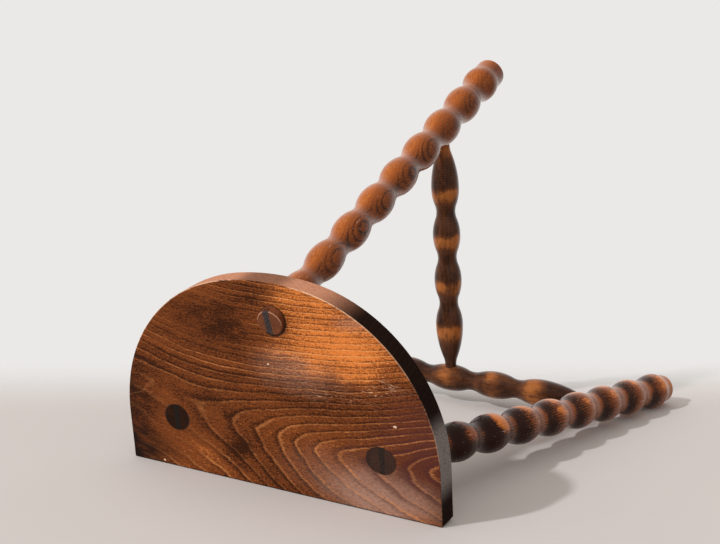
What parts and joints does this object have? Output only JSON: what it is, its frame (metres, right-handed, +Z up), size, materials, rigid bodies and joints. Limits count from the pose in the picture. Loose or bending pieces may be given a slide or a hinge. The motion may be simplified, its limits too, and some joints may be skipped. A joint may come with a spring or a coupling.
{
  "type": "milking stool",
  "caption": "Half-moon milking stool: a flat D-shaped plank seat on splayed bobbin-turned legs with wedged through tenons, tied by turned stretchers in a T.",
  "frame": {"origin": "on the floor, under the middle of the stool's box", "axes": "+Z up; the round side with the single front leg faces -Y, the straight back edge faces +Y; the sitter's right hand is towards -X"},
  "size_m": [0.4154, 0.3654, 0.469],
  "materials": {
    "seat_wood": "dark stain under a worn satin varnish, pale growth lines",
    "leg_wood": "brown stain under a glossy varnish, rubbed lighter on the bobbins",
    "stretcher_wood": "near-black stain worn to brown on the bulbs, satin",
    "wedge_wood": "dark end grain, dull"
  },
  "bodies": {
    "root": {"seat": "seat_wood", "front_leg": "leg_wood", "rear_left_leg": "leg_wood", "rear_right_leg": "leg_wood", "cross_stretcher": "stretcher_wood", "centre_stretcher": "stretcher_wood", "front_wedge": "wedge_wood", "rear_left_wedge": "wedge_wood", "rear_right_wedge": "wedge_wood"}
  },
  "joints": []
}
